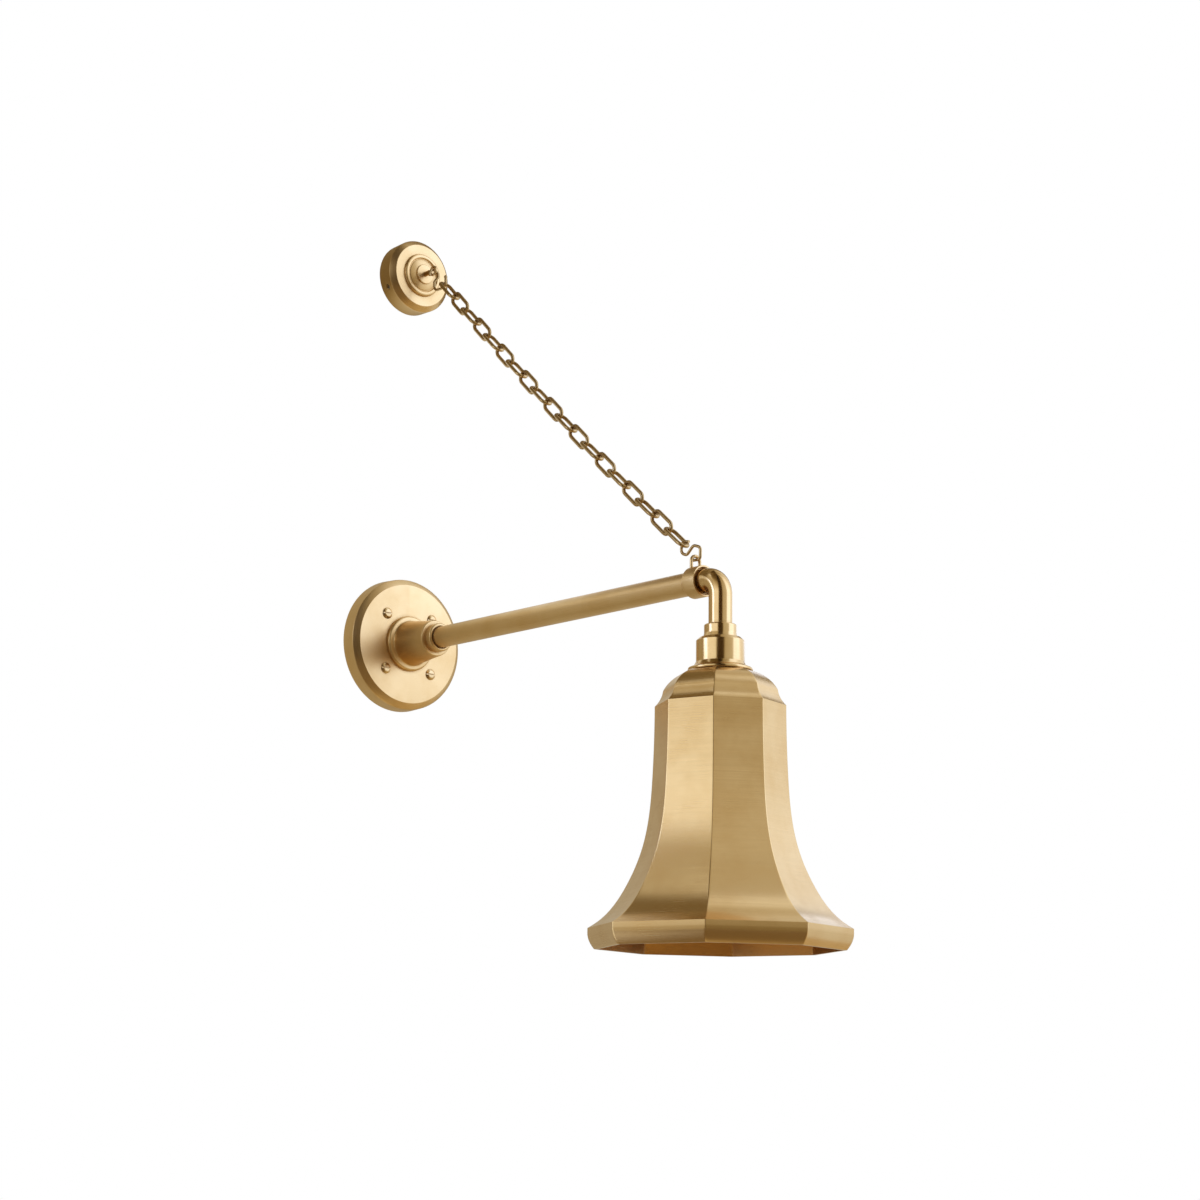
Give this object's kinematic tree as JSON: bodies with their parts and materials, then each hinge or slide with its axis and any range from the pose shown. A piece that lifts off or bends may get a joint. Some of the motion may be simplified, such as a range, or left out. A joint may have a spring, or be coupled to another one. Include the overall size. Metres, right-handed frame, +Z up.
{
  "type": "hanging pendant wall sconce",
  "caption": "Satin brass wall light: a straight arm from a round wall plate, stayed by a chain from a rosette, with an octagonal bell shade hung from its elbow.",
  "frame": {"origin": "middle of the mounting bracket's back face, on the wall, on the arm's axis", "axes": "-Y out of the wall along the arm, +Z up, +X to the right for someone facing the wall"},
  "size_m": [0.2266, 0.5863, 0.7518],
  "materials": {
    "satin_brass": "satin brushed, aged",
    "shade_brass": "satin, fine level brushing",
    "chain_brass": "antiqued, slightly darker",
    "contact_metal": "plain bright",
    "zinc_steel": "zinc plated",
    "dark_steel": "blackened",
    "porcelain": "white glazed porcelain",
    "lead_black": "matt insulation",
    "lead_white": "matt insulation"
  },
  "bodies": {
    "wall_frame": {"mounting_bracket": "zinc_steel", "wall_plate": "satin_brass", "plate_screws": "satin_brass", "arm_lock_nut": "zinc_steel", "arm_hub": "satin_brass", "hub_ring": "satin_brass", "arm_tube": "satin_brass", "arm_collar": "satin_brass", "chain_staple": "satin_brass", "elbow_tube": "satin_brass", "drop_ring": "satin_brass", "socket_cup": "satin_brass", "shade_gallery": "satin_brass", "lampholder_body": "porcelain", "screw_shell": "contact_metal", "centre_contact": "contact_metal", "lead_live": "lead_black", "lead_neutral": "lead_white", "rosette_bracket": "zinc_steel", "rosette_cover": "satin_brass", "rosette_grub_screws": "dark_steel", "eye_washer": "satin_brass", "screw_eye": "satin_brass"},
    "stay_chain": {"upper_hook": "chain_brass", "chain_link_01": "chain_brass", "chain_link_02": "chain_brass", "chain_link_03": "chain_brass", "chain_link_04": "chain_brass", "chain_link_05": "chain_brass", "chain_link_06": "chain_brass", "chain_link_07": "chain_brass", "chain_link_08": "chain_brass", "chain_link_09": "chain_brass", "chain_link_10": "chain_brass", "chain_link_11": "chain_brass", "chain_link_12": "chain_brass", "chain_link_13": "chain_brass", "chain_link_14": "chain_brass", "chain_link_15": "chain_brass", "chain_link_16": "chain_brass", "chain_link_17": "chain_brass", "chain_link_18": "chain_brass", "chain_link_19": "chain_brass", "lower_hook": "chain_brass"},
    "shade_ring": {"shade_ring": "contact_metal"},
    "shade": {"shade": "shade_brass"}
  },
  "joints": [
    {"name": "chain_swing", "type": "hinge", "parent": "wall_frame", "child": "stay_chain", "pos_m": [0, -0.0433, 0.3916], "axis": [0, -0.7344, -0.6788], "range_deg": [-12, 12]},
    {"name": "ring_unscrew", "type": "slide", "parent": "wall_frame", "child": "shade_ring", "axis": [0, 0, -1], "range_m": [0, 0.01]},
    {"name": "shade_turn", "type": "hinge", "parent": "shade_ring", "child": "shade", "pos_m": [0, -0.473, -0.0837], "axis": [0, 0, 1], "continuous": true}
  ]
}
